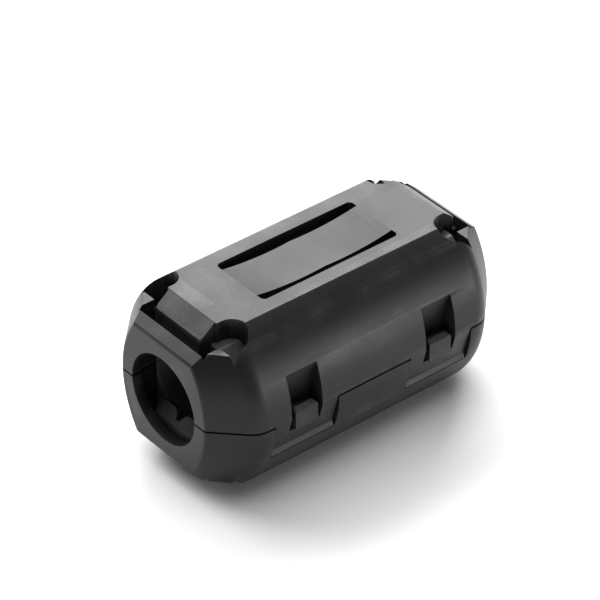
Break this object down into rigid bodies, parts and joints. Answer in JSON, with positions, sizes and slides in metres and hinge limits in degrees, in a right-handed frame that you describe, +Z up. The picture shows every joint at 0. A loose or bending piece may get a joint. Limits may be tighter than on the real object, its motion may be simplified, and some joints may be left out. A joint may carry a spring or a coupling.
{
  "type": "clip-on ferrite bead",
  "caption": "Hinged clip-on case with a split ferrite core that closes round a cable to damp high-frequency noise.",
  "frame": {"origin": "middle of the flat base of the closed bead", "axes": "+X along the cable, +Y towards the hinge, +Z up, from the lower half to the upper half"},
  "size_m": [0.035, 0.021, 0.0186],
  "materials": {
    "case": "satin",
    "ferrite": "satin"
  },
  "bodies": {
    "lower_half": {"lower_case": "case", "lower_core": "ferrite", "hinge_web": "case"},
    "upper_half": {"upper_case": "case", "upper_core": "ferrite"}
  },
  "joints": [
    {"name": "lid_hinge", "type": "hinge", "parent": "lower_half", "child": "upper_half", "pos_m": [0, 0.0104, 0.0093], "axis": [-1, 0, 0], "range_deg": [0, 180], "deforming": ["hinge_web"]}
  ]
}
